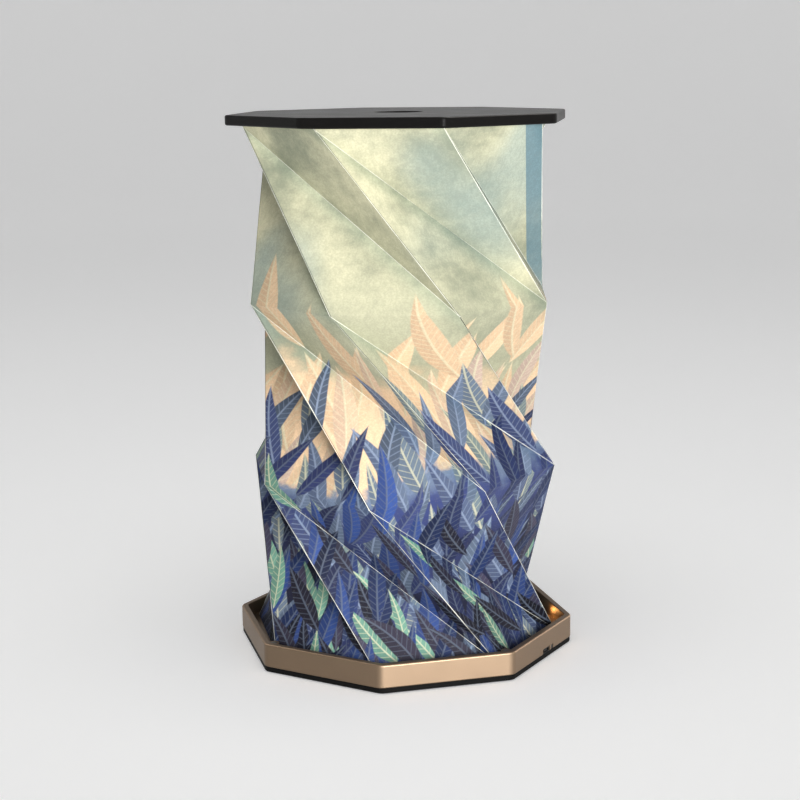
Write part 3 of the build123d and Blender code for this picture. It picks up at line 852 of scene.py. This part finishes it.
class LAMP_OT_tray(bpy.types.Operator):
    """Finishes the tray, its plate, feet, screws and magnets"""

    bl_idname = "lamp.tray"
    bl_label = "Finish the tray"

    def execute(self, context):
        tones = context.scene.lamp_finish
        dress(grained("anodised_aluminium", tones.aluminium, 0.00035, (0.42, 0.54), metal=1.0,
                      relief=0.000012, spread=0.05), "base_tray")
        dress(grained("black_plastic", tones.plastic, 0.0006, (0.48, 0.62), relief=0.00003, specular=0.05),
              "base_plate")
        dress(grained("rubber", tones.rubber, 0.0008, (0.72, 0.9), relief=0.00005), "rubber_feet")
        dress(brushed("screw_steel", tones.steel, (0.28, 0.42), (1.0, 6.0, 1.0)),
              "base_screws", "lid_screws")
        dress(brushed("magnet_nickel", tones.nickel, (0.42, 0.54), (1.0, 4.0, 1.0)),
              "base_magnets", "lid_magnets")
        # Painted shade: the socket's steel is darkened to stand for its dark inside
        dress(brushed("port_steel", shaded(tones.steel, PORT_SHADE_SHARE), (0.3, 0.45), (1.0, 1.0, 8.0)),
              "charging_port")
        dress(grained("button_black", tones.plastic, 0.0003, (0.4, 0.55), relief=0.00001), "power_button")
        return {"FINISHED"}


class LAMP_OT_light(bpy.types.Operator):
    """Finishes the light source, boards, battery and leads inside the tray"""

    bl_idname = "lamp.light"
    bl_label = "Finish the light and boards"

    def execute(self, context):
        tones = context.scene.lamp_finish
        dress(grained("board_white", tones.board_white, 0.0008, (0.35, 0.5), relief=0.00001), "led_board")
        phosphor = grained("led_phosphor", tones.phosphor, 0.0004, (0.3, 0.45))
        phosphor.set(Emission_Color=LED_TINT, Emission_Strength=LED_GLOW)
        dress(phosphor, "leds")
        acrylic = grained("frosted_acrylic", tones.acrylic, 0.0007, (0.45, 0.6), spread=0.03)
        acrylic.set(Emission_Color=DIFFUSER_TINT, Emission_Strength=DIFFUSER_GLOW)
        dress(acrylic, "light_diffuser")
        dress(grained("board_green", tones.board_green, 0.0009, (0.3, 0.45), relief=0.00004), "control_board")
        dress(grained("chip_black", tones.plastic, 0.0003, (0.5, 0.65)), "board_chips", "tact_switch")
        dress(grained("battery_foil", tones.foil, 0.004, (0.22, 0.36), metal=1.0, relief=0.0002),
              "battery_cell")
        dress(grained("lead_insulation", tones.insulation, 0.0005, (0.35, 0.5)), "battery_leads", "led_leads")
        return {"FINISHED"}


class LAMP_OT_lid(bpy.types.Operator):
    """Finishes the lid, its reflector and the clamp frames of the shade"""

    bl_idname = "lamp.lid"
    bl_label = "Finish the lid"

    def execute(self, context):
        tones = context.scene.lamp_finish
        dress(grained("lid_black", tones.lid, 0.0004, (0.27, 0.39), spread=0.15, specular=0.08), "lid_cover")
        dress(grained("reflector_white", tones.reflector, 0.0008, (0.5, 0.65), spread=0.03), "lid_reflector")
        dress(grained("frame_plastic", tones.frame_grey, 0.0006, (0.5, 0.65)),
              "shade_base_frame", "shade_top_frame")
        return {"FINISHED"}


class LAMP_OT_stage(bpy.types.Operator):
    """Sets up the floor, the lights and the camera"""

    bl_idname = "lamp.stage"
    bl_label = "Set the stage"

    def execute(self, context):
        stage = context.scene.lamp_stage
        self.lay_floor(stage)
        self.hang_lights(context, stage)
        self.place_camera(context, stage)
        return {"FINISHED"}

    @staticmethod
    def lay_floor(stage):
        """A round floor that sweeps up into a pale wall all round."""
        bpy.ops.object.select_all(action="DESELECT")
        bpy.ops.mesh.primitive_circle_add(vertices=FLOOR_POINTS, radius=stage.floor_radius, fill_type="NGON")
        floor = named_piece("floor")
        pick(floor, edges=lambda e: True)
        bpy.ops.mesh.extrude_edges_move(TRANSFORM_OT_translate={"value": (0.0, 0.0, stage.wall_height)})
        bpy.ops.object.mode_set(mode="OBJECT")
        pick(floor, edges=lambda e: all(floor.data.vertices[i].co.z < FLOOR_EDGE for i in e.vertices))
        bpy.ops.mesh.bevel(offset=stage.wall_height * SWEEP_SHARE, segments=SWEEP_STRIPS, affect="EDGES")
        bpy.ops.mesh.select_all(action="SELECT")
        bpy.ops.mesh.normals_make_consistent(inside=True)
        bpy.ops.object.mode_set(mode="OBJECT")
        only(floor)
        bpy.ops.object.shade_smooth()
        finish = Finish("floor_paper")
        dark, light = (shaded(stage.floor, share) for share in FLOOR_TONES)
        finish.set(Base_Color=finish.mix(finish.noise(finish.place(), FLOOR_CLOUD, 2.0), dark, light))
        finish.set(Roughness=FLOOR_ROUGH, Specular_IOR_Level=FLOOR_SPECULAR)
        finish.set(Emission_Color=WHITE, Emission_Strength=stage.floor_glow)
        floor.data.materials.append(finish.material)

    @staticmethod
    def group(name, *pieces):
        """A collection of the pieces that one light is kept to."""
        collection = bpy.data.collections.new(name)
        for piece in pieces:
            collection.objects.link(piece)
        return collection

    @staticmethod
    def hang(context, light, turn, reach, height, lit):
        """Hangs a light at a turn and a distance from the lamp's axis, kept to the given pieces if any."""
        holder = bpy.data.objects.new(light.name, light)
        context.scene.collection.objects.link(holder)
        holder.location = (reach * sin(turn), -reach * cos(turn), height)
        if lit:
            holder.light_linking.receiver_collection = lit
        return holder

    def hang_lights(self, context, stage):
        """Even ambient light, soft lamps round the object and the light that leaks out under the shade."""
        world = bpy.data.worlds.new("studio")
        world.use_nodes = True
        sky = world.node_tree.nodes["Background"]
        sky.inputs["Color"].default_value = (*WHITE, 1.0)
        sky.inputs["Strength"].default_value = stage.sky
        context.scene.world = world
        storeys = [bpy.data.objects[name + "_shade"] for name, _, _ in STOREYS]
        paper = self.group("paper", *storeys)
        lid = self.group("lid", NODES["lid_cover"])
        metal = self.group("metal", NODES["base_tray"])
        ground = self.group("ground", bpy.data.objects["floor"])
        lamp_only = self.group("lamp_only", *storeys, *(n for key, n in NODES.items() if key != "lid_cover"))
        # Name, power, size, turn from the front towards the right, distance, height, tint, pieces it lights
        rows = (
            ("key_light", stage.key_power, (0.6, 0.5), 46.0, 1.3, 0.26, (1.0, 0.98, 0.95), lamp_only),
            ("back_light", stage.back_power, (1.0, 0.8), 215.0, 1.3, 0.5, WHITE, paper),
            ("top_light", stage.top_power, (1.2, 1.2), 40.0, 0.4, 1.4, WHITE, None),
            ("lid_light", stage.lid_power, (0.9, 0.9), 150.0, 0.7, 1.3, (1.0, 0.97, 0.94), lid),
            ("floor_light", stage.floor_power, (1.8, 1.8), 10.0, 0.25, 2.0, WHITE, ground),
            ("rim_light", stage.rim_power, (0.3, 0.3), 280.0, 0.7, 0.65, (1.0, 0.95, 0.9), metal),
            ("edge_light", stage.edge_power, (0.12, 0.12), 55.0, 0.9, 0.28, WHITE, lid),
            ("strip_light", stage.strip_power, (0.5, 0.24), 60.0, 0.6, 0.13, (1.0, 0.97, 0.94), metal),
            ("side_light", stage.strip_power * SIDE_SHARE, (0.5, 0.24), 142.0, 0.6, 0.13, (1.0, 0.88, 0.8),
             metal),
        )
        for name, power, size, turn, reach, height, tint, lit in rows:
            light = bpy.data.lights.new(name, "AREA")
            light.shape, light.size, light.size_y = "RECTANGLE", *size
            light.energy, light.color = power, tint
            holder = self.hang(context, light, radians(turn), reach, height, lit)
            aim = Vector((0.0, 0.0, AIM_HEIGHT)) - holder.location
            holder.rotation_euler = aim.to_track_quat("-Z", "Y").to_euler()
        leak = bpy.data.lights.new("leak_light", "POINT")
        leak.energy, leak.color, leak.shadow_soft_size = stage.leak_power, LEAK_TINT, LEAK_RADIUS
        self.hang(context, leak, LEAK_TURN, LEAK_REACH, LEAK_HEIGHT, metal)

    @staticmethod
    def place_camera(context, stage):
        """Stands the camera where the lamp is seen from a little above its middle."""
        lens = bpy.data.cameras.new("camera")
        lens.sensor_width, lens.lens, lens.shift_x = SENSOR, stage.camera_lens, stage.camera_shift
        lens.clip_start, lens.clip_end = CLIP
        camera = bpy.data.objects.new("camera", lens)
        context.scene.collection.objects.link(camera)
        turn = stage.camera_angle
        camera.location = (stage.camera_distance * sin(turn), -stage.camera_distance * cos(turn),
                           stage.camera_height)
        camera.rotation_mode = "QUATERNION"
        aim = Vector((-sin(turn) * cos(stage.camera_pitch), cos(turn) * cos(stage.camera_pitch),
                      -sin(stage.camera_pitch)))
        camera.rotation_quaternion = Quaternion(aim, -stage.camera_roll) @ aim.to_track_quat("-Z", "Y")
        context.scene.camera = camera
        context.scene.view_settings.view_transform = "Standard"


class LAMP_PT_panel(bpy.types.Panel):
    """Lists the lamp's pieces and its settings"""

    bl_idname = "LAMP_PT_panel"
    bl_label = "Bedside lamp"
    bl_space_type = "VIEW_3D"
    bl_region_type = "UI"
    bl_category = "Lamp"

    def draw(self, context):
        for operator in OPERATORS:
            self.layout.operator(operator.bl_idname)
        for group in (context.scene.lamp_shade, context.scene.lamp_finish, context.scene.lamp_stage):
            box = self.layout.box()
            for key in group.__annotations__:
                box.prop(group, key)


OPERATORS = (LAMP_OT_tray, LAMP_OT_light, LAMP_OT_lid, LAMP_OT_shade, LAMP_OT_stage)
GROUPS = (("lamp_shade", LampShadeSettings), ("lamp_finish", LampFinishSettings),
          ("lamp_stage", LampStageSettings))


def register():
    for name, group in GROUPS:
        bpy.utils.register_class(group)
        setattr(bpy.types.Scene, name, PointerProperty(type=group))
    for piece in (*OPERATORS, LAMP_PT_panel):
        bpy.utils.register_class(piece)


def unregister():
    for piece in (LAMP_PT_panel, *reversed(OPERATORS)):
        bpy.utils.unregister_class(piece)
    for name, group in reversed(GROUPS):
        delattr(bpy.types.Scene, name)
        bpy.utils.unregister_class(group)


def main():
    register()
    bpy.ops.lamp.tray()
    bpy.ops.lamp.light()
    bpy.ops.lamp.lid()
    bpy.ops.lamp.shade()
    bpy.ops.lamp.stage()


if __name__ == "__main__":
    main()
